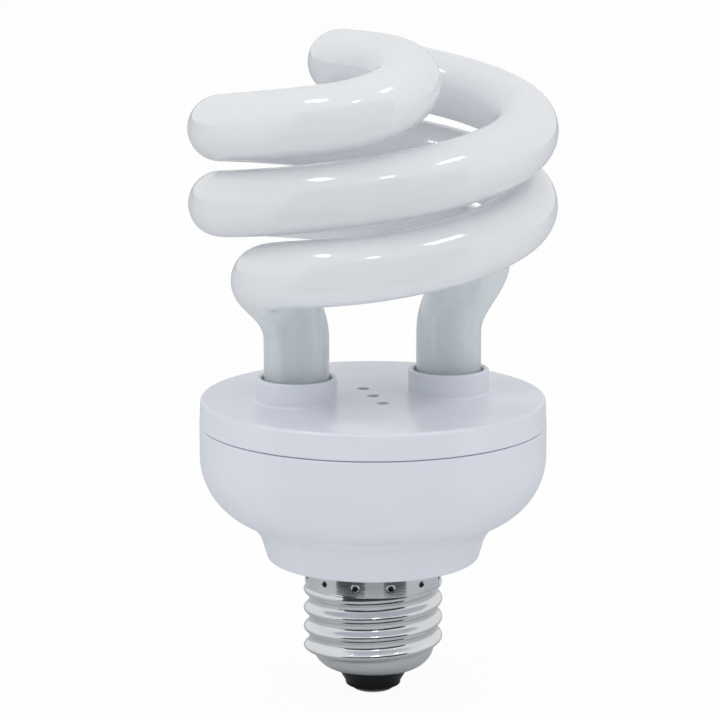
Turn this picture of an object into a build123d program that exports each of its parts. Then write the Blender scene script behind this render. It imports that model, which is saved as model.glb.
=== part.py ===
from build123d import *
import os
from math import acos, cos, degrees, pi, radians, sin, sqrt, tan

os.makedirs("parts", exist_ok=True)

# Spiral compact fluorescent lamp for a reptile enclosure, with a medium screw base.
# Millimetres, +Z up along the lamp's axis, origin at the tip of the solder on the centre contact.

# Screw base
solder_height = 0.25
solder_radius = 2.0
contact_radius = 4.1
contact_flat_radius = 2.9
contact_thickness = 1.5
contact_edge = 0.5
eyelet_radius = 0.8
rim_radius = 6.9
rim_height = 4.8
cap_corner_radius = 4.7
cap_waist_radius = 11.55
cap_flank_height = 1.0
thread_root_radius = 12.0
thread_crest_radius = 13.05
thread_pitch = 25.4 / 7
thread_foot_width = 3.3
thread_dip = 0.15
thread_sink = 1.0
thread_crest_height = 10.75
thread_start_angle = 150.0
skirt_radius = 12.8
skirt_bottom = 21.4
shell_wall = 0.5
dimple_count = 12
dimple_ball = 0.9
dimple_depth = 0.3
dimple_drop = 3.15
insulator_bore = 1.3
foot_radius = 5.2
foot_round = 0.5
foot_height = 0.8
plug_height = 8.8

# Ballast housing
neck_bottom = 26.05
neck_height = 3.2
neck_draft = 16.5
neck_fillet = 0.9
neck_sweep_radius = 7.7
bowl_radius = 13.2
bowl_turn = 64.7
side_height = 5.75
housing_radius = 32.3
housing_wall = 1.8
seam_gap = 0.25
seam_depth = 0.8
seam_round = 0.3
spigot_bore = 10.2
spigot_drop = 4.0
rib_count = 8
rib_depth = 3.4
rib_thickness = 1.4
rib_height = 4.0

# Tube cover
cover_height = 5.1
cover_plate = 2.0
cover_draft = 0.25
cover_edge = 0.7
lip_wall = 1.4
snap_height = 1.2
snap_depth = 0.35
snap_drop = 2.4
collar_radius = 7.55
collar_bore = 6.55
collar_height = 4.5
collar_rim = 0.4
collar_foot = 0.5
vent_radius = 1.15
vent_spacing = 6.6
vent_count = 3

# Spiral tube
tube_radius = 6.05
coil_radius = 27.9
coil_pitch = 27.9
helix_start_angle = 299.0
helix_turn = 312.0
helix_rise = 31.45
leg_offset = 14.66
leg_angle = 195.8
leg_depth = 4.8
leg_rise = 11.4
leg_pull = 12.0
leg_end_round = 2.4
shoulder_reach = 1.0
shoulder_angle = 193.6
shoulder_rise = 23.0
sweep_reach = 3.4
sweep_angle = 229.8
sweep_rise = 29.2
entry_pull = 27.4
exit_pull = 17.0
crown_pull = 15.3
crown_rise = 61.7
crown_heading = 135.7
cement_recess = 1.2

# Board and ballast components
board_thickness = 1.6
pin_side = 1.0
pin_hole_radius = 0.75
pin_height = 2.2
pin_tail = 1.2
pin_reach = 6.7
lead_radius = 0.25
lead_spread = 2.2
lead_bend = 1.2
lead_drop = 1.9
choke_x = -7.5
core_width = 16.0
core_height = 14.2
core_depth = 4.8
core_limb = 2.2
core_post = 4.0
bobbin_base = 1.5
bobbin_wall = 0.8
bobbin_depth = 13.0
winding_inset = 0.7
winding_round = 1.5
toroid_inset = 11.8
toroid_outer = 4.5
toroid_inner = 2.4
toroid_height = 4.0
toroid_wire = 0.5
toroid_span = 55.0
toroid_coils = 3
reservoir_x = 8.0
reservoir_radius = 5.0
reservoir_length = 18.0
reservoir_groove = 0.4
film_x = 8.0
film_inset = 18.8
film_length = 9.0
film_width = 5.0
film_height = 8.0
film_round = 1.2
transistor_x = -10.0
transistor_y = 12.0
transistor_width = 8.0
transistor_depth = 3.2
transistor_height = 8.5
transistor_stand = 2.0
transistor_leg = 0.7
transistor_leg_pitch = 2.3
diode_inset = 10.8
diode_radius = 1.35
diode_length = 5.2
diode_pitch_x = 10.0
diode_pitch_y = 4.0
resistor_inset = 7.9
resistor_y = 8.2
resistor_count = 3
resistor_radius = 1.15
resistor_length = 6.0
resistor_pitch = 3.2
trigger_x = -13.5
trigger_inset = 12.3
trigger_radius = 0.95
trigger_length = 4.0
axial_wire = 0.3
axial_reach = 1.0
drum_inset = 7.2
drum_angle = 35.0
drum_radius = 3.0
drum_waist = 2.1
drum_height = 8.0
drum_flange = 1.2
fuse_inset = 11.3
fuse_y = -6.0
fuse_radius = 1.7
fuse_length = 8.0
wire_radius = 0.6
wire_x = 1.75
wire_y = 4.0
wire_bend = 3.0
wire_entry = 18.5
wire_centre = 11.5

# Clearances
slip = 0.05
fit_gap = 0.1

# Which end of a block or cylinder its place marks
upward = (Align.CENTER, Align.CENTER, Align.MIN)
downward = (Align.CENTER, Align.CENTER, Align.MAX)

# Heights and radii that follow from the sizes above
contact_bottom = solder_height
contact_top = contact_bottom + contact_thickness
lip_height = contact_top - contact_edge
cap_corner_angle = degrees(acos(1 - (cap_waist_radius - rim_radius) / cap_corner_radius))
cap_corner_top = rim_height + cap_corner_radius * sin(radians(cap_corner_angle))
rim_opening = rim_radius - shell_wall * cos(radians(cap_corner_angle))
sweep_drop = neck_sweep_radius * (sin(radians(bowl_turn)) - sin(radians(neck_draft)))
bowl_top = neck_bottom + neck_height + sweep_drop + bowl_radius * sin(radians(bowl_turn))
seam_height = bowl_top + side_height
mouth_radius = housing_radius - housing_wall
board_bottom = bowl_top
board_top = board_bottom + board_thickness
board_radius = mouth_radius - lip_wall * 0.5
cover_top = seam_height + cover_height
plate_bottom = cover_top - cover_plate
collar_top = cover_top + collar_height
leg_end = plate_bottom - leg_depth
shell_bore = thread_root_radius - shell_wall
spigot_radius = skirt_radius - shell_wall - slip
toroid_y = board_radius - toroid_inset
film_y = board_radius - film_inset
diode_y = diode_inset - board_radius
resistor_x = resistor_inset - board_radius
trigger_y = board_radius - trigger_inset
fuse_x = board_radius - fuse_inset
drum_x = (board_radius - drum_inset) * cos(radians(drum_angle))
drum_y = (board_radius - drum_inset) * sin(radians(drum_angle))


def axis_point(radius, angle, height):
    """Point at a radius and an angle round the lamp's axis."""
    return Vector(radius * cos(radians(angle)), radius * sin(radians(angle)), height)


def cap_section(inset):
    """Half section of the screw cap from the axis out, its wall moved inward by inset."""
    corner = cap_corner_radius - inset
    with BuildSketch(Plane.XZ) as section:
        with BuildLine():
            skirt = Line((skirt_radius - inset, neck_bottom), (skirt_radius - inset, skirt_bottom))
            root = Line((thread_root_radius - inset, skirt_bottom - cap_flank_height),
                        (thread_root_radius - inset, cap_corner_top + cap_flank_height))
            Line(skirt @ 1, root @ 0)
            waist = Line(root @ 1, (cap_waist_radius - inset, cap_corner_top))
            bend = JernArc(waist @ 1, (0, -1), corner, -cap_corner_angle)
            Polyline(bend @ 1, (0, (bend @ 1).Y), (0, neck_bottom), skirt @ 0)
        make_face()
    return section.sketch


# Screw shell: nickel-plated sheet cap with a rolled right-hand thread and staking dents
ridge_depth = thread_crest_radius - thread_root_radius
half_foot = thread_foot_width / 2
ridge_start = thread_crest_height - thread_pitch * (1 - thread_start_angle / 360)
ridge_rise = skirt_bottom - fit_gap - half_foot - ridge_start
with BuildPart() as thread_ridge:
    with BuildLine() as ridge_path:
        Helix(thread_pitch, ridge_rise, thread_root_radius, center=(0, 0, ridge_start))
    with BuildSketch(Plane(ridge_path.line @ 0, x_dir=(1, 0, 0), z_dir=ridge_path.line % 0)):
        with BuildLine():
            flank = Bezier((-thread_dip, -half_foot), (-thread_dip, -half_foot / 2),
                           (ridge_depth, -half_foot * 0.6), (ridge_depth, 0))
            rise = Bezier((ridge_depth, 0), (ridge_depth, half_foot * 0.6),
                          (-thread_dip, half_foot / 2), (-thread_dip, half_foot))
            Polyline(rise @ 1, (-thread_sink, half_foot), (-thread_sink, -half_foot), flank @ 0)
        make_face()
    sweep(path=ridge_path.line, is_frenet=True)

with BuildPart() as screw_shell:
    add(cap_section(0))
    revolve(axis=Axis.Z)
    add(thread_ridge.part.rotate(Axis.Z, thread_start_angle))
    add(cap_section(shell_wall))
    revolve(axis=Axis.Z, mode=Mode.SUBTRACT)
    Cylinder(rim_opening, cap_corner_top, align=upward, mode=Mode.SUBTRACT)
    with Locations((0, 0, neck_bottom - dimple_drop)):
        with PolarLocations(skirt_radius + dimple_ball - dimple_depth, dimple_count, start_angle=15):
            Sphere(dimple_ball, mode=Mode.SUBTRACT)
screw_shell.part.label = "screw_shell"
export_step(screw_shell.part, "parts/screw_shell.step")

# Centre contact: tinned disc with a dished underside and an eyelet for the lead
with BuildPart() as centre_contact:
    with BuildSketch(Plane.XZ):
        with BuildLine():
            base = Line((eyelet_radius, contact_bottom), (contact_flat_radius, contact_bottom))
            side = Line((contact_radius, lip_height), (contact_radius, contact_top))
            TangentArc(base @ 1, side @ 0, tangent=(1, 0))
            Polyline(side @ 1, (eyelet_radius, contact_top), base @ 0)
        make_face()
    revolve(axis=Axis.Z)
centre_contact.part.label = "centre_contact"
export_step(centre_contact.part, "parts/centre_contact.step")

# Solder: fills the eyelet and stands below it as the lamp's lowest point
with BuildPart() as contact_solder:
    with BuildSketch(Plane.XZ):
        with BuildLine():
            dome = TangentArc((0, 0), (solder_radius, solder_height), tangent=(1, 0))
            Polyline(dome @ 1, (eyelet_radius - slip, solder_height), (eyelet_radius - slip, contact_top),
                     (0, contact_top), dome @ 0)
        make_face()
    revolve(axis=Axis.Z)
contact_solder.part.label = "contact_solder"
export_step(contact_solder.part, "parts/contact_solder.step")

# Base insulator: black plug moulded into the cap's open end, with a seat for the contact
with BuildPart() as base_insulator:
    add(cap_section(shell_wall + slip))
    revolve(axis=Axis.Z)
    Cylinder(thread_root_radius, plug_height, align=upward, mode=Mode.INTERSECT)
    with BuildSketch(Plane.XZ):
        with BuildLine():
            lip = Line((contact_radius + slip, lip_height), (foot_radius - foot_round, lip_height))
            foot = JernArc(lip @ 1, (1, 0), foot_round, 90)
            Polyline(foot @ 1, (foot_radius, lip_height + foot_height), (rim_opening - slip, rim_height),
                     (rim_opening - slip, plug_height), (0, plug_height), (0, contact_top),
                     (contact_radius + slip, contact_top), lip @ 0)
        make_face()
    revolve(axis=Axis.Z)
    with Locations((0, 0, contact_top)):
        Cylinder(insulator_bore, plug_height, align=upward, mode=Mode.SUBTRACT)
base_insulator.part.label = "base_insulator"
export_step(base_insulator.part, "parts/base_insulator.step")


def housing_section(inset):
    """Half section of the ballast housing from the axis out, its wall moved inward by inset."""
    with BuildSketch(Plane.XZ) as section:
        with BuildLine():
            side = Line((housing_radius - inset, seam_height), (housing_radius - inset, bowl_top))
            bowl = JernArc(side @ 1, (0, -1), bowl_radius - inset, -bowl_turn)
            sweep_in = JernArc(bowl @ 1, bowl % 1, neck_sweep_radius + inset, bowl_turn - neck_draft)
            neck_drop = (sweep_in @ 1).Y - neck_bottom - inset
            neck_foot = (sweep_in @ 1).X - neck_drop * tan(radians(neck_draft))
            Polyline(sweep_in @ 1, (neck_foot, neck_bottom + inset), (0, neck_bottom + inset),
                     (0, seam_height), side @ 0)
        make_face()
    return section.sketch


# Ballast housing: moulded bowl with a neck, a spigot for the cap and ribs that carry the board
with BuildPart() as ballast_housing:
    add(housing_section(0))
    revolve(axis=Axis.Z)
    fillet(ballast_housing.edges().group_by(Axis.Z)[0], neck_fillet)
    fillet(ballast_housing.edges().group_by(Axis.Z)[-1], seam_round)
    with Locations((0, 0, neck_bottom)):
        Cylinder(spigot_radius, spigot_drop, align=downward)
    add(housing_section(housing_wall))
    revolve(axis=Axis.Z, mode=Mode.SUBTRACT)
    with Locations((0, 0, neck_bottom - spigot_drop)):
        Cylinder(spigot_bore, spigot_drop + housing_wall, align=upward, mode=Mode.SUBTRACT)
    with Locations((0, 0, board_bottom)):
        with PolarLocations(housing_radius - housing_wall * 0.6, rib_count):
            Box(rib_depth, rib_thickness, rib_height, align=(Align.MAX, Align.CENTER, Align.MAX))
    snap_middle = seam_height - snap_drop
    with BuildSketch(Plane.XZ):
        with Locations((mouth_radius, snap_middle)):
            Rectangle(2 * (snap_depth + fit_gap), snap_height + 2 * fit_gap)
    revolve(axis=Axis.Z, mode=Mode.SUBTRACT)
ballast_housing.part.label = "ballast_housing"
export_step(ballast_housing.part, "parts/ballast_housing.step")

# Tube cover: moulded lid with two collars, three vents and a lip that snaps into the housing
leg_places = [axis_point(leg_offset, leg_angle + turn, 0) for turn in (0, 180)]
lip_radius = mouth_radius - fit_gap
with BuildPart() as tube_cover:
    with BuildSketch(Plane.XZ):
        with BuildLine():
            Polyline((0, cover_top), (housing_radius - cover_draft, cover_top),
                     (housing_radius, seam_height + seam_gap),
                     (housing_radius - seam_depth, seam_height + seam_gap),
                     (housing_radius - seam_depth, seam_height),
                     (lip_radius, seam_height), (lip_radius, snap_middle + snap_height / 2),
                     (lip_radius + snap_depth, snap_middle), (lip_radius, snap_middle - snap_height / 2),
                     (lip_radius, board_top + fit_gap), (lip_radius - lip_wall, board_top + fit_gap),
                     (lip_radius - lip_wall, plate_bottom), (0, plate_bottom), close=True)
        cover_face = make_face()
        rim_corner = cover_face.vertices().group_by(Axis.Y)[-1].sort_by(Axis.X)[-1]
        fillet(rim_corner, cover_edge)
    revolve(axis=Axis.Z)
    with BuildSketch(Plane.XY.offset(plate_bottom)):
        with Locations(*leg_places):
            Circle(collar_radius)
    extrude(amount=collar_top - plate_bottom)
    with BuildSketch(Plane.XY.offset(plate_bottom)):
        with Locations(*leg_places):
            Circle(collar_bore)
    extrude(amount=collar_top - plate_bottom, mode=Mode.SUBTRACT)
    collar_rims = tube_cover.edges().filter_by(GeomType.CIRCLE).group_by(Axis.Z)[-1]
    fillet(collar_rims, collar_rim)
    top_rings = tube_cover.edges().filter_by(GeomType.CIRCLE).filter_by_position(Axis.Z, cover_top, cover_top)
    collar_feet = top_rings.filter_by(lambda edge: abs(edge.radius - collar_radius) < slip)
    fillet(collar_feet, collar_foot)
    with BuildSketch(Plane((0, 0, cover_top), x_dir=axis_point(1, leg_angle + 90, 0), z_dir=(0, 0, 1))):
        with GridLocations(vent_spacing, vent_spacing, vent_count, 1):
            Circle(vent_radius)
    extrude(amount=-cover_plate, mode=Mode.SUBTRACT)
tube_cover.part.label = "tube_cover"
export_step(tube_cover.part, "parts/tube_cover.step")

# Spiral tube: coated glass bent into a double helix, two legs joined by an S over the crown
helix_slope = coil_pitch / (2 * pi)
helix_end_angle = helix_start_angle + helix_turn
helix_start_height = cover_top + helix_rise
helix_height = coil_pitch * helix_turn / 360
helix_start = axis_point(coil_radius, helix_start_angle, helix_start_height)
helix_end = axis_point(coil_radius, helix_end_angle, helix_start_height + helix_height)


def helix_heading(angle):
    """Unit vector along the rising helix at an angle round the axis."""
    along = axis_point(coil_radius, angle + 90, helix_slope)
    return along.normalized()


leg_foot = axis_point(leg_offset, leg_angle, leg_end)
leg_top = axis_point(leg_offset, leg_angle, cover_top + leg_rise)
shoulder = axis_point(coil_radius + shoulder_reach, shoulder_angle, cover_top + shoulder_rise)
sweep_point = axis_point(coil_radius + sweep_reach, sweep_angle, cover_top + sweep_rise)
crown = Vector(0, 0, cover_top + crown_rise)
crown_entry = crown - axis_point(crown_pull, crown_heading, 0)

with BuildPart() as half_tube:
    with BuildLine() as strand:
        leg_run = Line(leg_foot, leg_top)
        Bezier(leg_top, leg_top + Vector(0, 0, leg_pull), shoulder, sweep_point,
               helix_start - helix_heading(helix_start_angle) * entry_pull, helix_start)
        turns = Helix(coil_pitch, helix_height, coil_radius, center=(0, 0, helix_start_height),
                      mode=Mode.PRIVATE)
        add(turns.rotate(Axis.Z, helix_start_angle))
        Bezier(helix_end, helix_end + helix_heading(helix_end_angle) * exit_pull, crown_entry, crown)
    with BuildSketch(Plane(leg_foot, z_dir=(0, 0, 1))):
        Circle(tube_radius)
    sweep(path=strand.line)
    fillet(half_tube.edges().group_by(Axis.Z)[0], leg_end_round)

with BuildPart() as spiral_tube:
    with PolarLocations(0, 2):
        add(half_tube.part)
spiral_tube.part.label = "spiral_tube"
export_step(spiral_tube.part, "parts/spiral_tube.step")

# Tube cement: a ring of white cement round each leg, below the collar's rim
with BuildPart() as tube_cement:
    with BuildSketch(Plane.XY.offset(plate_bottom)):
        with Locations(*leg_places):
            Circle(collar_bore - slip)
            Circle(tube_radius + slip, mode=Mode.SUBTRACT)
    extrude(amount=collar_top - cement_recess - plate_bottom)
tube_cement.part.label = "tube_cement"
export_step(tube_cement.part, "parts/tube_cement.step")

# Circuit board: round, drilled for the four filament posts
post_offset = leg_offset + pin_reach
leg_plane = Plane((0, 0, board_bottom), x_dir=axis_point(1, leg_angle, 0), z_dir=(0, 0, 1))
with BuildPart() as circuit_board:
    with BuildSketch(leg_plane):
        Circle(board_radius)
        with GridLocations(2 * post_offset, 2 * lead_spread, 2, 2):
            Circle(pin_hole_radius, mode=Mode.SUBTRACT)
    extrude(amount=board_thickness)
circuit_board.part.label = "circuit_board"
export_step(circuit_board.part, "parts/circuit_board.step")

# Filament posts: square pins on the tube side of the board
with BuildPart() as filament_pins:
    with BuildSketch(leg_plane.offset(-pin_tail)):
        with GridLocations(2 * post_offset, 2 * lead_spread, 2, 2):
            Rectangle(pin_side, pin_side)
    extrude(amount=pin_tail + board_thickness + pin_height)
filament_pins.part.label = "filament_pins"
export_step(filament_pins.part, "parts/filament_pins.step")

# Filament leads: from each leg's sealed end down and across to a post
lead_start = leg_end - board_bottom
with BuildPart() as filament_lead:
    with BuildLine(leg_plane) as lead_path:
        FilletPolyline((leg_offset, lead_spread, lead_start),
                       (leg_offset, lead_spread, lead_start - lead_drop),
                       (post_offset - pin_side / 2, lead_spread, lead_start - lead_drop), radius=lead_bend)
    with BuildSketch(Plane(lead_path.line @ 0, z_dir=lead_path.line % 0)):
        Circle(lead_radius)
    sweep(path=lead_path.line)

with BuildPart() as filament_leads:
    with PolarLocations(0, 2):
        add(filament_lead.part)
        add(filament_lead.part.mirror(Plane((0, 0, 0), z_dir=axis_point(1, leg_angle + 90, 0))))
filament_leads.part.label = "filament_leads"
export_step(filament_leads.part, "parts/filament_leads.step")

# Choke core: two ferrite E halves meeting round the bobbin
choke_plane = Plane((choke_x, 0, board_bottom - bobbin_base), x_dir=(1, 0, 0), z_dir=(0, -1, 0))
window_height = core_height - 2 * core_limb
window_width = (core_width - core_post) / 2 - core_limb
with BuildPart() as choke_core:
    with BuildSketch(choke_plane):
        with Locations((0, -core_height / 2)):
            Rectangle(core_width, core_height)
            with GridLocations(core_post + window_width, 1, 2, 1):
                Rectangle(window_width, window_height, mode=Mode.SUBTRACT)
    extrude(amount=core_depth / 2, both=True)
choke_core.part.label = "choke_core"
export_step(choke_core.part, "parts/choke_core.step")

# Choke bobbin: spool on the core's post, hung from a foot on the board by two cheeks
spool_height = window_height - 2 * fit_gap
spool_middle = board_bottom - bobbin_base - core_height / 2
flange_width = core_width - 2 * core_limb - 2 * fit_gap
bore_x = core_post + 2 * fit_gap
bore_y = core_depth + 2 * fit_gap
cheek_y = bore_y / 2
with BuildPart() as choke_bobbin:
    with Locations((choke_x, 0, spool_middle)):
        Box(bore_x + 2 * bobbin_wall, bore_y + 2 * bobbin_wall, spool_height)
        for end in (-1, 1):
            with Locations((0, 0, end * (spool_height - bobbin_wall) / 2)):
                Box(flange_width, bobbin_depth, bobbin_wall)
        Box(bore_x, bore_y, spool_height, mode=Mode.SUBTRACT)
    with Locations((choke_x, 0, board_bottom)):
        Box(flange_width, bobbin_depth, bobbin_base - fit_gap, align=downward)
    for side in (-1, 1):
        with Locations((choke_x, side * (cheek_y + bobbin_wall / 2), board_bottom - bobbin_base / 2)):
            Box(flange_width, bobbin_wall, bobbin_base / 2 + core_limb + fit_gap + bobbin_wall, align=downward)
choke_bobbin.part.label = "choke_bobbin"
export_step(choke_bobbin.part, "parts/choke_bobbin.step")

# Choke winding: enamelled copper on the spool
with BuildPart() as choke_winding:
    with BuildSketch(Plane((choke_x, 0, spool_middle))):
        RectangleRounded(flange_width - 2 * winding_inset, bobbin_depth - 2 * winding_inset, winding_round)
        Rectangle(bore_x + 2 * (bobbin_wall + slip), bore_y + 2 * (bobbin_wall + slip), mode=Mode.SUBTRACT)
    extrude(amount=spool_height / 2 - bobbin_wall - slip, both=True)
choke_winding.part.label = "choke_winding"
export_step(choke_winding.part, "parts/choke_winding.step")

# Drive toroid: ferrite ring on the board with three short windings
toroid_middle = board_bottom - toroid_wire - toroid_height / 2 - fit_gap
ring_middle = (toroid_outer + toroid_inner) / 2
ring_width = toroid_outer - toroid_inner
toroid_axis = Axis((0, toroid_y, 0), (0, 0, 1))
ring_plane = Plane((ring_middle, toroid_y, toroid_middle), x_dir=(1, 0, 0), z_dir=(0, -1, 0))
with BuildPart() as drive_toroid:
    with BuildSketch(ring_plane):
        Rectangle(ring_width, toroid_height)
    revolve(axis=toroid_axis)
drive_toroid.part.label = "drive_toroid"
export_step(drive_toroid.part, "parts/drive_toroid.step")

with BuildPart() as toroid_coil:
    with BuildSketch(ring_plane):
        Rectangle(ring_width + 2 * (slip + toroid_wire), toroid_height + 2 * (slip + toroid_wire))
        Rectangle(ring_width + 2 * slip, toroid_height + 2 * slip, mode=Mode.SUBTRACT)
    revolve(axis=toroid_axis, revolution_arc=toroid_span)

with BuildPart() as toroid_windings:
    with Locations((0, toroid_y, 0)):
        with PolarLocations(0, toroid_coils):
            add(toroid_coil.part.moved(Location((0, -toroid_y, 0))))
toroid_windings.part.label = "toroid_windings"
export_step(toroid_windings.part, "parts/toroid_windings.step")

# Reservoir capacitor: sleeved can hanging from the board towards the neck
with BuildPart() as reservoir_capacitor:
    with Locations((reservoir_x, 0, board_bottom)):
        Cylinder(reservoir_radius, reservoir_length, align=downward)
    can_groove = board_bottom - 4 * reservoir_groove
    with Locations((reservoir_x, 0, can_groove)):
        Torus(reservoir_radius + reservoir_groove / 2, reservoir_groove, mode=Mode.SUBTRACT)
    fillet(reservoir_capacitor.edges().group_by(Axis.Z)[0], reservoir_groove)
reservoir_capacitor.part.label = "reservoir_capacitor"
export_step(reservoir_capacitor.part, "parts/reservoir_capacitor.step")

# Film capacitors: dipped blocks each side of the reservoir capacitor
for film_name, film_side in (("resonant_capacitor", 1), ("coupling_capacitor", -1)):
    with BuildPart() as film_block:
        with Locations((film_x, film_side * film_y, board_bottom)):
            Box(film_length, film_width, film_height, align=downward)
        fillet(film_block.edges().filter_by(Axis.Z), film_round)
        fillet(film_block.edges().group_by(Axis.Z)[0], film_round)
    film_block.part.label = film_name
    export_step(film_block.part, f"parts/{film_name}.step")

# Transistors: a pair of flat packages, each on three legs
with BuildPart() as transistors:
    with GridLocations(1, 2 * transistor_y, 1, 2):
        with Locations((transistor_x, 0, board_bottom - transistor_stand)):
            Box(transistor_width, transistor_depth, transistor_height, align=downward)
        with Locations((transistor_x, 0, board_bottom)):
            with GridLocations(transistor_leg_pitch, 1, 3, 1):
                Box(transistor_leg, transistor_leg, transistor_stand, align=downward)
transistors.part.label = "transistors"
export_step(transistors.part, "parts/transistors.step")


def axial_piece(radius, length):
    """Axial part lying along X under the board's face at height zero, on two bent wires."""
    drop = radius + fit_gap
    reach = length / 2 + axial_reach
    with BuildPart() as piece:
        with Locations(Location((0, 0, -drop), (0, 90, 0))):
            Cylinder(radius, length)
        fillet(piece.edges().filter_by(GeomType.CIRCLE), radius * 0.3)
        for end in (-1, 1):
            with BuildLine() as wire:
                FilletPolyline((end * (length / 2 - slip), 0, -drop), (end * reach, 0, -drop),
                               (end * reach, 0, 0), radius=axial_wire * 2)
            with BuildSketch(Plane(wire.line @ 0, z_dir=wire.line % 0)):
                Circle(axial_wire)
            sweep(path=wire.line)
    return piece.part


# Rectifier diodes: four axial diodes in a block
diode = axial_piece(diode_radius, diode_length)
with BuildPart() as rectifier_diodes:
    with Locations((0, diode_y, board_bottom)):
        with GridLocations(diode_pitch_x, diode_pitch_y, 2, 2):
            add(diode)
rectifier_diodes.part.label = "rectifier_diodes"
export_step(rectifier_diodes.part, "parts/rectifier_diodes.step")

# Resistors: a row of axial resistors beside the choke, laid across the board
resistor = axial_piece(resistor_radius, resistor_length).rotate(Axis.Z, 90)
with BuildPart() as resistors:
    with Locations((resistor_x, resistor_y, board_bottom)):
        with GridLocations(resistor_pitch, resistor_pitch, resistor_count, 1):
            add(resistor)
resistors.part.label = "resistors"
export_step(resistors.part, "parts/resistors.step")

# Trigger diode: small glass diode that starts the oscillator
trigger = axial_piece(trigger_radius, trigger_length)
with BuildPart() as trigger_diode:
    with Locations((trigger_x, trigger_y, board_bottom)):
        add(trigger)
trigger_diode.part.label = "trigger_diode"
export_step(trigger_diode.part, "parts/trigger_diode.step")

# Fuse resistor: the heavier axial part in the supply line
fuse = axial_piece(fuse_radius, fuse_length).rotate(Axis.Z, 90)
with BuildPart() as fuse_resistor:
    with Locations((fuse_x, fuse_y, board_bottom)):
        add(fuse)
fuse_resistor.part.label = "fuse_resistor"
export_step(fuse_resistor.part, "parts/fuse_resistor.step")

# Filter inductor: drum core with its waist wound full
with BuildPart() as filter_inductor:
    with BuildSketch(Plane((drum_x, drum_y, board_bottom), x_dir=(1, 0, 0), z_dir=(0, -1, 0))):
        with BuildLine():
            Polyline((0, 0), (drum_radius, 0), (drum_radius, -drum_flange), (drum_waist, -drum_flange),
                     (drum_waist, drum_flange - drum_height), (drum_radius, drum_flange - drum_height),
                     (drum_radius, -drum_height), (0, -drum_height), close=True)
        make_face()
    revolve(axis=Axis((drum_x, drum_y, 0), (0, 0, 1)))
filter_inductor.part.label = "filter_inductor"
export_step(filter_inductor.part, "parts/filter_inductor.step")

# Contact lead: insulated wire from the board through the neck to the centre contact
with BuildPart() as contact_lead:
    with BuildLine() as contact_route:
        FilletPolyline((wire_x, wire_y, board_bottom), (wire_x, wire_y, wire_entry), (0, 0, wire_centre),
                       (0, 0, contact_top), radius=wire_bend)
    with BuildSketch(Plane(contact_route.line @ 0, z_dir=contact_route.line % 0)):
        Circle(wire_radius)
    sweep(path=contact_route.line)
contact_lead.part.label = "contact_lead"
export_step(contact_lead.part, "parts/contact_lead.step")

# Shell lead: insulated wire from the board to the inside of the screw shell
shell_reach = sqrt(shell_bore ** 2 - (wire_x + wire_radius) ** 2) - slip
with BuildPart() as shell_lead:
    with BuildLine() as shell_route:
        FilletPolyline((wire_x, -wire_y, board_bottom), (wire_x, -wire_y, wire_entry),
                       (wire_x, -shell_reach, wire_entry), radius=wire_bend)
    with BuildSketch(Plane(shell_route.line @ 0, z_dir=shell_route.line % 0)):
        Circle(wire_radius)
    sweep(path=shell_route.line)
shell_lead.part.label = "shell_lead"
export_step(shell_lead.part, "parts/shell_lead.step")
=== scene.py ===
import bpy
import numpy as np
from mathutils import Matrix


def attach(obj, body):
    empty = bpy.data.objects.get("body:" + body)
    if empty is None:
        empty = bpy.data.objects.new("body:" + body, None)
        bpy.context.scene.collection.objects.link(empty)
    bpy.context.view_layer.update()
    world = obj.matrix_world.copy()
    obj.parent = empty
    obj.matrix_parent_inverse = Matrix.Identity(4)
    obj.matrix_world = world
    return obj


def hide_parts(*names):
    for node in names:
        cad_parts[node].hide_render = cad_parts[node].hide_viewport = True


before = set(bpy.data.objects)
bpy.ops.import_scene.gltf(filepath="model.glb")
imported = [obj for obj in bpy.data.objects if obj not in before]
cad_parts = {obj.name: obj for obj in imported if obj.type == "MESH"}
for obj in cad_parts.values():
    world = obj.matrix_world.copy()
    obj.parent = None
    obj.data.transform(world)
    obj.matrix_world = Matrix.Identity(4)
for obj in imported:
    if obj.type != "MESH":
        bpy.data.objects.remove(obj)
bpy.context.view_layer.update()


# Screw shell: a cap drawn from thin plated sheet with its right-hand thread rolled in.
# Its plain skirt is pressed over the housing's spigot, where a ring of punched dents holds it.
# Lengths are in millimetres.
def closed_grid(name, points, ring=False):
    """Piece from a grid of points in millimetres. Columns run round the piece and close on
    themselves. Rows run along it: a ring's last row joins its first, otherwise each end row
    closes on the point at its own middle. Faces are turned so that the volume is positive."""
    rows, columns = points.shape[:2]
    index = np.arange(rows * columns).reshape(rows, columns)
    vertices = points.reshape(-1, 3)
    low = index if ring else index[:-1]
    high = np.roll(index, -1, 0) if ring else index[1:]
    quads = np.stack([low, np.roll(low, -1, 1), np.roll(high, -1, 1), high], -1).reshape(-1, 4)
    faces = quads.tolist()
    a, b, c, d = (vertices[quads[:, k]] for k in range(4))
    volume = np.einsum("ij,ij->", a, np.cross(b, c)) + np.einsum("ij,ij->", a, np.cross(c, d))
    if not ring:
        ends = points[[0, -1]].mean(1)
        first, last = rows * columns, rows * columns + 1
        vertices = np.vstack([vertices, ends])
        start = np.stack([np.full(columns, first), np.roll(index[0], -1), index[0]], -1)
        stop = np.stack([np.full(columns, last), index[-1], np.roll(index[-1], -1)], -1)
        fans = np.vstack([start, stop])
        faces += fans.tolist()
        a, b, c = (vertices[fans[:, k]] for k in range(3))
        volume += np.einsum("ij,ij->", a, np.cross(b, c))
    if volume < 0:
        faces = [face[::-1] for face in faces]
    mesh = bpy.data.meshes.new(name)
    mesh.from_pydata((vertices * 0.001).tolist(), [], faces)
    mesh.shade_smooth()
    mesh.set_sharp_from_angle(angle=np.radians(50))
    piece = bpy.data.objects.new(name, mesh)
    bpy.context.collection.objects.link(piece)
    return piece


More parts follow.
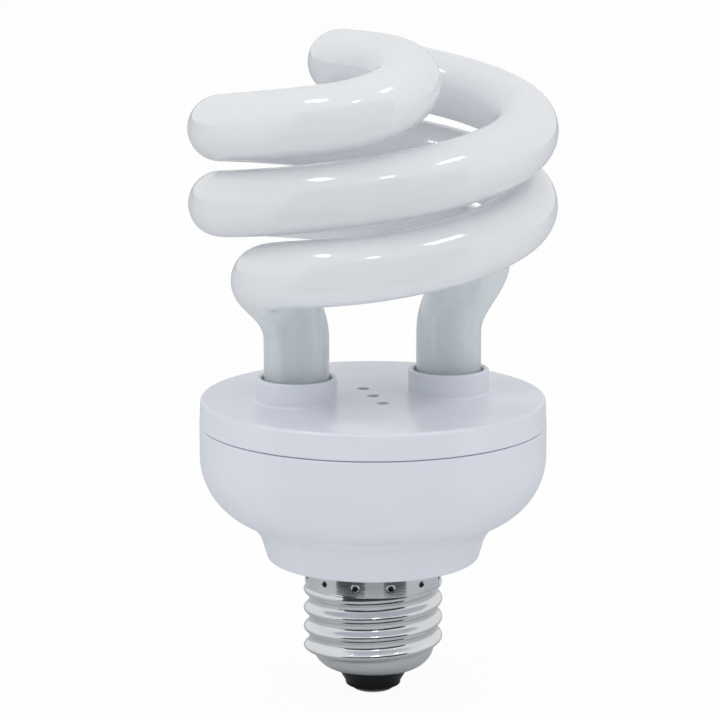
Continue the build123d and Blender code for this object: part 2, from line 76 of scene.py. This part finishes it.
def turned(profile, columns):
    """Grid of a profile of (radius, height) rows carried round the lamp's axis."""
    angle = np.arange(columns) * 2 * np.pi / columns
    radius, height = profile[:, :1], profile[:, 1:]
    return np.stack([radius * np.cos(angle), radius * np.sin(angle), height + 0 * angle], -1)


def run(start, end, count):
    """Straight stretch of a profile or path from start up to, but not including, end."""
    step = np.linspace(0, 1, count, endpoint=False)[:, None]
    return np.array(start) * (1 - step) + np.array(end) * step


def bow(centre, radius, start, end, count):
    """Round stretch of a profile about a centre, its angles in degrees, without its last point."""
    angle = np.radians(np.linspace(start, end, count, endpoint=False))
    return np.stack([centre[0] + radius * np.cos(angle), centre[1] + radius * np.sin(angle)], -1)


def finish(name, colour, roughness, drift=0.05, grain=250.0, stretch=(1, 1, 1), dent=0.0, rough_drift=0.2,
           **sockets):
    """Procedural finish: noise in the piece's own coordinates drifts the colour and the roughness,
    and a finer noise dents the surface. Other sockets of the shader are set by name."""
    material = bpy.data.materials.new(name)
    material.use_nodes = True
    nodes, links = material.node_tree.nodes, material.node_tree.links
    shader = nodes["Principled BSDF"]
    place = nodes.new("ShaderNodeTexCoord")
    scale = nodes.new("ShaderNodeMapping")
    scale.inputs["Scale"].default_value = stretch
    links.new(place.outputs["Object"], scale.inputs["Vector"])
    noise = nodes.new("ShaderNodeTexNoise")
    noise.inputs["Scale"].default_value = grain
    noise.inputs["Detail"].default_value = 4
    links.new(scale.outputs["Vector"], noise.inputs["Vector"])
    ramp = nodes.new("ShaderNodeValToRGB")
    ramp.color_ramp.elements[0].position = 0.3
    ramp.color_ramp.elements[1].position = 0.7
    ramp.color_ramp.elements[0].color = [*(np.array(colour) * (1 - drift)), 1]
    ramp.color_ramp.elements[1].color = [*np.minimum(np.array(colour) * (1 + drift), 1), 1]
    links.new(noise.outputs["Fac"], ramp.inputs["Fac"])
    links.new(ramp.outputs["Color"], shader.inputs["Base Color"])
    spread = nodes.new("ShaderNodeMapRange")
    spread.inputs["To Min"].default_value = roughness * (1 - rough_drift)
    spread.inputs["To Max"].default_value = roughness * (1 + rough_drift)
    links.new(noise.outputs["Fac"], spread.inputs["Value"])
    links.new(spread.outputs["Result"], shader.inputs["Roughness"])
    if dent:
        fine = nodes.new("ShaderNodeTexNoise")
        fine.inputs["Scale"].default_value = grain * 4
        links.new(scale.outputs["Vector"], fine.inputs["Vector"])
        bump = nodes.new("ShaderNodeBump")
        bump.inputs["Strength"].default_value = 1.0
        bump.inputs["Distance"].default_value = dent
        links.new(fine.outputs["Fac"], bump.inputs["Height"])
        links.new(bump.outputs["Normal"], shader.inputs["Normal"])
    for socket, value in sockets.items():
        shader.inputs[socket.replace("_", " ")].default_value = value
    return material


def place_piece(piece, nodes, material):
    """The piece rides on the lamp, stands for its CAD nodes and takes its slot and finish."""
    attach(piece, "root")
    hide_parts(*nodes)
    piece.data.materials.append(material)


crest, root, pitch, half_foot = 13.05, 12.0, 25.4 / 7, 1.65
thread_start, run_in_low, run_in, run_out_high, run_out = 10.75, 7.3, 1.6, 22.7, 1.0
skirt, skirt_low, skirt_top, wall, slope, rim = 12.8, 21.4, 26.05, 0.5, 1.0, 0.1
waist, corner, corner_height, corner_turn = 11.55, 4.7, 9.5, 89.4
corner_centre, waist_top = (waist - corner, corner_height), corner_height + slope
outer = np.vstack([
    bow(corner_centre, corner, -corner_turn, 0, 30),
    run((waist, corner_height), (root, waist_top), 9),
    run((root, waist_top), (root, skirt_low - slope), 84),
    run((root, skirt_low - slope), (skirt, skirt_low), 10),
    run((skirt, skirt_low), (skirt, skirt_top - rim), 40),
    run((skirt, skirt_top - rim), (skirt - rim, skirt_top), 2),
])
inner = np.vstack([
    run((skirt - wall, skirt_top), (skirt - wall, skirt_low), 4),
    run((skirt - wall, skirt_low), (root - wall, skirt_low - slope), 2),
    run((root - wall, skirt_low - slope), (root - wall, waist_top), 4),
    run((root - wall, waist_top), (waist - wall, corner_height), 2),
    bow(corner_centre, corner - wall, 0, -corner_turn, 12),
    bow(corner_centre, corner - wall, -corner_turn, -corner_turn, 1),
])
columns = 400
angle = np.arange(columns) * 2 * np.pi / columns
base, height = outer[:, :1], outer[:, 1:]
turn_height = thread_start + pitch * angle / (2 * np.pi)
from_crest = (height - turn_height + pitch / 2) % pitch - pitch / 2
crest_height = height - from_crest
fade_in = np.clip((crest_height - run_in_low) / run_in, 0, 1)
fade_out = np.clip((run_out_high - crest_height) / run_out, 0, 1)
fade = fade_in * fade_out
ridge = 0.5 + 0.5 * np.cos(np.pi * np.clip(np.abs(from_crest) / half_foot, 0, 1))
radius = base + np.maximum(crest - base, 0) * ridge * fade * fade * (3 - 2 * fade) * (height < skirt_low)

dent_step, dent_turn, dent_drop = np.radians(30), np.radians(15), 3.15
punch_radius, punch_standoff = 0.9, 0.6
dent_depth = punch_radius - punch_standoff
from_dent_turn = (angle - dent_turn + dent_step / 2) % dent_step - dent_step / 2
from_dent = np.hypot(skirt * from_dent_turn, height - (skirt_top - dent_drop))
punch = np.sqrt(np.maximum(punch_radius ** 2 - from_dent ** 2, 0))
pit = np.maximum(punch - punch_standoff, 0) / dent_depth
radius = radius - dent_depth * pit
grid = np.stack([radius * np.cos(angle), radius * np.sin(angle), height + 0 * angle], -1)
shell = closed_grid("shell_skin", np.vstack([grid, turned(inner, columns)]), ring=True)
plating = finish("plating", (0.80, 0.81, 0.82), 0.12, drift=0.04, grain=900, stretch=(0.15, 0.15, 1),
                 dent=4e-6, Metallic=1.0)
# Painted shade: each dent's hollow is painted near black, fading out towards its edge, to stand for the
# shade inside the punched dents.
pit_shade_gain = 2.5
pit_shade = np.vstack([np.minimum(pit_shade_gain * pit, 1), np.zeros((len(inner), columns))]).ravel()
shell.data.attributes.new("pit", "FLOAT", "POINT").data.foreach_set("value", pit_shade)
nodes, links = plating.node_tree.nodes, plating.node_tree.links
pit_shade_reader = nodes.new("ShaderNodeAttribute")
pit_shade_reader.attribute_name = "pit"
pit_shade_mix = nodes.new("ShaderNodeMix")
pit_shade_mix.data_type = "RGBA"
pit_shade_mix.inputs["B"].default_value = (0.03, 0.03, 0.035, 1)
links.new(pit_shade_reader.outputs["Fac"], pit_shade_mix.inputs["Factor"])
links.new(nodes["Color Ramp"].outputs["Color"], pit_shade_mix.inputs["A"])
links.new(pit_shade_mix.outputs["Result"], nodes["Principled BSDF"].inputs["Base Color"])
place_piece(shell, ["screw_shell"], plating)

# Base insulator: a black moulded plug in the cap's open end, with a lip round the contact.
# It is held by the cap's turned-in rim.
plug_inset = wall + 0.05
plug_bore, plug_top, contact_seat, seat_height = 1.3, 8.8, 4.15, 1.75
lip_height, lip_round, lip_radius, lip_tall, plug_neck, rim_height = 1.25, 0.5, 5.2, 0.8, 6.845, 4.8
plug_corner = corner - plug_inset
plug_turn = np.degrees(np.arcsin((corner_height - plug_top) / plug_corner))
plug_radius = waist - corner + plug_corner * np.cos(np.radians(plug_turn))
plug = np.vstack([
    run((plug_bore, seat_height), (contact_seat, seat_height), 6),
    run((contact_seat, seat_height), (contact_seat, lip_height), 3),
    run((contact_seat, lip_height), (lip_radius - lip_round, lip_height), 3),
    bow((lip_radius - lip_round, lip_height + lip_round), lip_round, -90, 0, 8),
    run((lip_radius, lip_height + lip_round), (lip_radius, lip_height + lip_tall), 2),
    run((lip_radius, lip_height + lip_tall), (plug_neck, rim_height), 8),
    run((plug_neck, rim_height), (plug_neck, corner_height - plug_corner), 2),
    bow(corner_centre, plug_corner, -corner_turn, -plug_turn, 24),
    run((plug_radius, plug_top), (plug_bore, plug_top), 6),
    run((plug_bore, plug_top), (plug_bore, seat_height), 6),
])
insulator = closed_grid("insulator_skin", turned(plug, 160), ring=True)
glaze = finish("black_glaze", (0.004, 0.0045, 0.006), 0.2, drift=0.3, grain=500, dent=1.5e-5,
               Specular_IOR_Level=0.35)
place_piece(insulator, ["base_insulator"], glaze)

# Centre contact and its solder: a dished tin-plated disc with the contact wire soldered in
# its eyelet, the lamp's lowest point.
tinning = finish("tinning", (0.55, 0.53, 0.49), 0.38, drift=0.12, grain=700, dent=2e-5, Metallic=1.0)
solder = finish("solder", (0.62, 0.61, 0.58), 0.42, drift=0.15, grain=900, dent=4e-5, Metallic=1.0)


def dress(node, material):
    """A CAD node that already has the real piece's form keeps it and takes a finish."""
    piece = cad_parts[node]
    piece.data.materials.clear()
    piece.data.materials.append(material)


dress("centre_contact", tinning)
dress("contact_solder", solder)

# Supply leads: two covered wires from the board through the neck, one to the contact and one
# to the inside of the shell.
covering = finish("wire_covering", (0.80, 0.80, 0.76), 0.4, drift=0.04, grain=400)
dress("contact_lead", covering)
dress("shell_lead", covering)

# Ballast housing: a bowl moulded in cool white plastic, swept in to a short neck over the cap.
# The board sits on ribs inside it and the cover snaps into its mouth.
plastic = finish("white_plastic", (0.79, 0.81, 0.875), 0.22, drift=0.012, grain=120, dent=1.2e-6,
                 rough_drift=0.12)
dress("ballast_housing", plastic)

# Circuit board and its posts: brown paper laminate, drilled, with four square tinned posts
# that the tube's filament leads are wrapped on.
laminate = finish("laminate", (0.42, 0.28, 0.13), 0.6, drift=0.12, grain=350, dent=1e-5)
dress("circuit_board", laminate)
dress("filament_pins", tinning)
dress("filament_leads", tinning)

# Choke, toroid and filter inductor: pressed ferrite cores, wound with enamelled copper.
# The choke's turns sit on a black moulded bobbin, the toroid's on the ring itself.
ferrite = finish("ferrite", (0.07, 0.07, 0.075), 0.55, drift=0.2, grain=900, dent=1.5e-5)
bobbin = finish("bobbin", (0.03, 0.03, 0.032), 0.45, drift=0.2, grain=400)
copper = finish("enamelled_copper", (0.55, 0.22, 0.08), 0.3, drift=0.2, grain=600, stretch=(0.2, 0.2, 4),
                dent=3e-5, Metallic=0.8)
for node in ("choke_core", "drive_toroid", "filter_inductor"):
    dress(node, ferrite)
dress("choke_bobbin", bobbin)
dress("choke_winding", copper)
dress("toroid_windings", copper)

# Capacitors: an aluminium can in a shrunk sleeve that hangs into the neck, and two film blocks
# dipped in a red-brown coat beside it, all soldered to the board.
sleeve = finish("can_sleeve", (0.02, 0.03, 0.07), 0.3, drift=0.2, grain=300)
dipped = finish("dipped_coat", (0.30, 0.05, 0.025), 0.25, drift=0.15, grain=300, dent=2e-5)
dress("reservoir_capacitor", sleeve)
dress("resonant_capacitor", dipped)
dress("coupling_capacitor", dipped)

# Small parts under the board: moulded epoxy packages and diodes, lacquered resistors and the
# orange glass of the trigger diode.
epoxy = finish("epoxy", (0.02, 0.02, 0.02), 0.5, drift=0.25, grain=700, dent=1e-5)
lacquer = finish("lacquer", (0.50, 0.36, 0.18), 0.4, drift=0.12, grain=500)
amber = finish("amber_glass", (0.50, 0.14, 0.05), 0.1, drift=0.15, grain=500)
dress("transistors", epoxy)
dress("rectifier_diodes", epoxy)
dress("resistors", lacquer)
dress("fuse_resistor", lacquer)
dress("trigger_diode", amber)

# Tube cover: a lid in the same plastic with a rounded edge, two collars for the tube's legs
# and three vents, snapped into the housing with a fine seam between them.
dress("tube_cover", plastic)

# Tube cement: white cement poured round each leg in its collar. It sets below the collar's rim
# and holds the tube in the cover.
cement = finish("cement", (0.76, 0.76, 0.74), 0.8, drift=0.2, grain=900, dent=1e-4)
dress("tube_cement", cement)

# Spiral tube: one glass tube softened and wound as two helices from the crown down, with the
# white coating inside the glass. It thins out in the legs, which are cemented in the collars; the legs'
# darker grey is partly that thinner coating and partly painted shade from the coil above them.
tube, coil, rise = 6.05, 27.9, 27.9
cover_top, leg_end = 56.81, 50.01


def on_axis(radius, angle, height):
    """Point or row of points at a radius and an angle in degrees round the axis."""
    angle = np.radians(angle)
    return np.stack([radius * np.cos(angle), radius * np.sin(angle), height + 0 * angle], -1)


def heading(angle):
    """Unit vector along the rising helix at an angle in degrees."""
    angle = np.radians(angle)
    way = np.array([-coil * np.sin(angle), coil * np.cos(angle), rise / (2 * np.pi)])
    return way / np.linalg.norm(way)


def bend(controls, count):
    """Bezier curve through the controls' ends, by repeated blending of neighbours."""
    step = np.linspace(0, 1, count, endpoint=False)[:, None, None]
    level = np.array(controls)[None] + 0 * step
    while level.shape[1] > 1:
        level = level[:, :-1] * (1 - step) + level[:, 1:] * step
    return level[:, 0]


helix_start, helix_turn, helix_low_height = 299.0, 312.0, cover_top + 31.45
helix_end = helix_start + helix_turn
leg_offset, leg_angle, leg_rise, leg_lift = 14.66, 195.8, 11.4, 12.0
lead_in, lead_out, crown_reach, crown_angle, crown_rise = 27.4, 17.0, 15.3, 135.7, 61.7
leg_foot, leg_top = (on_axis(leg_offset, leg_angle, level) for level in (leg_end, cover_top + leg_rise))
shoulder = on_axis(coil + 1.0, 193.6, cover_top + 23.0)
elbow = on_axis(coil + 3.4, 229.8, cover_top + 29.2)
helix_low = on_axis(coil, helix_start, helix_low_height)
helix_high = on_axis(coil, helix_end, helix_low_height + rise * helix_turn / 360)
crown = np.array([0, 0, cover_top + crown_rise])
along = np.linspace(0, helix_turn, 400, endpoint=False)
half = np.vstack([
    run(leg_foot, leg_top, 40),
    bend([leg_top, leg_top + [0, 0, leg_lift], shoulder, elbow,
          helix_low - lead_in * heading(helix_start), helix_low], 150),
    on_axis(coil, helix_start + along, helix_low_height + rise * along / 360),
    bend([helix_high, helix_high + lead_out * heading(helix_end),
          crown - on_axis(crown_reach, crown_angle, 0), crown], 110),
])
centre = np.vstack([half, crown, half[::-1] * [-1, -1, 1]])
way = np.gradient(centre, axis=0)
way /= np.linalg.norm(way, axis=1, keepdims=True)
across = np.cross(on_axis(1.0, 100.0, 1.0), way)
across /= np.linalg.norm(across, axis=1, keepdims=True)
upward = np.cross(way, across)
length = np.concatenate([[0], np.cumsum(np.linalg.norm(np.diff(centre, axis=0), axis=1))])
from_end = np.minimum(length, length[-1] - length)
rounding = 2.4
girth = tube - rounding + np.sqrt(np.maximum(rounding ** 2 - np.maximum(rounding - from_end, 0) ** 2, 0))
section = np.arange(64) * 2 * np.pi / 64
ring = across[:, None] * np.cos(section)[:, None] + upward[:, None] * np.sin(section)[:, None]
glass = closed_grid("tube_glass", centre[:, None] + girth[:, None, None] * ring)
reach = np.append(np.repeat(from_end, len(section)), [0, 0])
glass.data.attributes.new("from_leg_end", "FLOAT", "POINT").data.foreach_set("value", reach)
coating = finish("coated_glass", (0.765, 0.78, 0.81), 0.12, drift=0.01, grain=60,
                 Coat_Weight=0.6, Coat_Roughness=0.02,
                 Subsurface_Weight=1.0, Subsurface_Radius=(1, 1, 1), Subsurface_Scale=0.02)
# Painted shade: towards the leg ends the colour turns to a streaked darker grey. This stands both for the
# thinner coating and for the shade the coil casts on the legs.
greyest_until, full_from = 20, 42
nodes, links = coating.node_tree.nodes, coating.node_tree.links
distance = nodes.new("ShaderNodeAttribute")
distance.attribute_name = "from_leg_end"
coat_thinning_and_shade = nodes.new("ShaderNodeMapRange")
coat_thinning_and_shade.interpolation_type = "SMOOTHSTEP"
coat_thinning_and_shade.inputs["From Min"].default_value = greyest_until
coat_thinning_and_shade.inputs["From Max"].default_value = full_from
links.new(distance.outputs["Fac"], coat_thinning_and_shade.inputs["Value"])
streaks = nodes.new("ShaderNodeTexNoise")
streaks.inputs["Scale"].default_value = 350
grain_scale = nodes.new("ShaderNodeMapping")
grain_scale.inputs["Scale"].default_value = (1, 1, 0.12)
links.new(nodes["Texture Coordinate"].outputs["Object"], grain_scale.inputs["Vector"])
links.new(grain_scale.outputs["Vector"], streaks.inputs["Vector"])
bare_glass_and_shade = nodes.new("ShaderNodeValToRGB")
bare_glass_and_shade.color_ramp.elements[0].color = (0.54, 0.59, 0.60, 1)
bare_glass_and_shade.color_ramp.elements[1].color = (0.69, 0.74, 0.75, 1)
links.new(streaks.outputs["Fac"], bare_glass_and_shade.inputs["Fac"])
cover = nodes.new("ShaderNodeMix")
cover.data_type = "RGBA"
links.new(coat_thinning_and_shade.outputs["Result"], cover.inputs["Factor"])
links.new(bare_glass_and_shade.outputs["Color"], cover.inputs["A"])
links.new(nodes["Color Ramp"].outputs["Color"], cover.inputs["B"])
links.new(cover.outputs["Result"], nodes["Principled BSDF"].inputs["Base Color"])
place_piece(glass, ["spiral_tube"], coating)

# Studio: a pale floor that keeps the shadow, white surroundings, soft lamps in front of and above
# the lamp, cards that only its reflections show and the camera a little above its middle.
# Lengths are in metres.
bpy.context.scene.view_settings.view_transform = "Standard"


def seen_rays(nodes, links, strength):
    """Value that is the strength on camera, mirror and glass rays and nought on the rest."""
    rays = nodes.new("ShaderNodeLightPath")
    mirror = nodes.new("ShaderNodeMath")
    mirror.operation = "MAXIMUM"
    links.new(rays.outputs["Is Camera Ray"], mirror.inputs[0])
    links.new(rays.outputs["Is Glossy Ray"], mirror.inputs[1])
    through = nodes.new("ShaderNodeMath")
    through.operation = "MAXIMUM"
    links.new(mirror.outputs[0], through.inputs[0])
    links.new(rays.outputs["Is Transmission Ray"], through.inputs[1])
    share = nodes.new("ShaderNodeMath")
    share.operation = "MULTIPLY"
    share.inputs[1].default_value = strength
    links.new(through.outputs[0], share.inputs[0])
    return share.outputs[0]


def card(name, corners, colour, white_share=0.0, mirror_only=True):
    """Flat stage panel, matt in its colour. Camera, mirror and glass rays see it mixed with even
    white by the share given. A mirror-only card shows in reflections and nowhere else."""
    mesh = bpy.data.meshes.new(name)
    mesh.from_pydata(corners, [], [(0, 1, 2, 3)])
    panel = bpy.data.objects.new(name, mesh)
    bpy.context.collection.objects.link(panel)
    paper = bpy.data.materials.new(name)
    paper.use_nodes = True
    nodes, links = paper.node_tree.nodes, paper.node_tree.links
    nodes.clear()
    matte = nodes.new("ShaderNodeBsdfDiffuse")
    matte.inputs["Color"].default_value = (*colour, 1)
    glow = nodes.new("ShaderNodeEmission")
    glow.inputs["Strength"].default_value = 1.0
    mix = nodes.new("ShaderNodeMixShader")
    links.new(seen_rays(nodes, links, white_share), mix.inputs["Fac"])
    links.new(matte.outputs[0], mix.inputs[1])
    links.new(glow.outputs[0], mix.inputs[2])
    links.new(mix.outputs[0], nodes.new("ShaderNodeOutputMaterial").inputs["Surface"])
    mesh.materials.append(paper)
    if mirror_only:
        panel.visible_camera = panel.visible_diffuse = panel.visible_shadow = False


def lying(height, *points):
    """Corners of a panel that lies level at a height, from its (x, y) points."""
    return [(x, y, height) for x, y in points]


def square(half):
    """The (x, y) corners of a square about the axis, from half its side."""
    return (-half, -half), (half, -half), (half, half), (-half, half)


pale, grey = (0.92, 0.92, 0.92), (0.62, 0.63, 0.64)
middle, dark = (0.36, 0.36, 0.37), (0.06, 0.06, 0.065)
card("floor", lying(0, *square(40)), pale, 0.95, mirror_only=False)
card("low_card", lying(0.0006, *square(4)), grey)
near = (-0.077, -0.044), (-0.019, -0.087), (0.026, -0.085), (0.072, -0.052)
far = (-0.30, -0.17), (-0.038, -0.17), (0.052, -0.17), (0.234, -0.17)
for k, (name, colour) in enumerate([("left_card", dark), ("centre_card", middle), ("right_card", dark)]):
    card(name, lying(0.001, far[k], far[k + 1], near[k + 1], near[k]), colour)
back_left, back_right, back_y, back_low, back_high = -1.6, 1.9, -1.2, 0.002, 1.0
card("back_card", [(back_left, back_y, back_low), (back_right, back_y, back_low),
                   (back_right, back_y, back_high), (back_left, back_y, back_high)], dark)
far_card_near = (0.3, -0.19), (-0.25, -0.19)
card("far_card", lying(back_low, (back_left, back_y), (back_right, back_y), *far_card_near), dark)

world = bpy.data.worlds.new("studio")
bpy.context.scene.world = world
world.use_nodes = True
nodes, links = world.node_tree.nodes, world.node_tree.links
nodes.clear()
white = nodes.new("ShaderNodeBackground")
white.inputs["Strength"].default_value = 1.0
dim = nodes.new("ShaderNodeBackground")
dim.inputs["Color"].default_value = (0.95, 0.975, 1.0, 1)
dim.inputs["Strength"].default_value = 0.70
mix = nodes.new("ShaderNodeMixShader")
links.new(seen_rays(nodes, links, 1.0), mix.inputs["Fac"])
links.new(dim.outputs[0], mix.inputs[1])
links.new(white.outputs[0], mix.inputs[2])
links.new(mix.outputs[0], nodes.new("ShaderNodeOutputWorld").inputs["Surface"])


def softbox(name, azimuth, elevation, distance, width, tall, power, mirrored=True):
    """Rectangular lamp facing the coil from an azimuth (0 is the camera's side) and an elevation,
    and whether mirror-like surfaces show it."""
    lamp = bpy.data.lights.new(name, "AREA")
    lamp.shape = "RECTANGLE"
    lamp.size, lamp.size_y, lamp.energy = width, tall, power
    body = bpy.data.objects.new(name, lamp)
    a, e = np.radians(azimuth), np.radians(elevation)
    back = np.array([np.sin(a) * np.cos(e), -np.cos(a) * np.cos(e), np.sin(e)])
    body.location = back * distance + [0, 0, 0.09]
    right = np.array([np.cos(a), np.sin(a), 0])
    up = np.cross(back, right)
    body.rotation_mode = "QUATERNION"
    body.rotation_quaternion = Matrix(np.stack([right, up, back], 1).tolist()).to_quaternion()
    body.visible_glossy = mirrored
    bpy.context.collection.objects.link(body)


softbox("left_lamp", -66, 57, 1.2, 0.27, 0.15, 1.3)
softbox("front_lamp", 1, 46, 1.2, 0.17, 0.09, 0.55)
softbox("right_lamp", 57, 57, 1.2, 0.28, 0.16, 1.35)
softbox("left_fill", -70, 22, 1.3, 0.9, 0.5, 1.0, mirrored=False)
softbox("right_fill", 70, 22, 1.3, 0.9, 0.5, 0.8, mirrored=False)

lens_distance, lens_rise, aim_height = 0.7, np.radians(12.8), 0.0517
picture, focal_pixels, left_pixels, up_pixels = 720, 3759, 13, 62.6
view = bpy.data.cameras.new("camera")
view.sensor_width = 36.0
view.lens = focal_pixels / picture * view.sensor_width
view.shift_x, view.shift_y = -left_pixels / picture, up_pixels / picture
view.clip_end = 200
camera = bpy.data.objects.new("camera", view)
camera.location = (0, -lens_distance * np.cos(lens_rise), aim_height + lens_distance * np.sin(lens_rise))
camera.rotation_euler = (np.pi / 2 - lens_rise, 0, 0)
bpy.context.collection.objects.link(camera)
bpy.context.scene.camera = camera
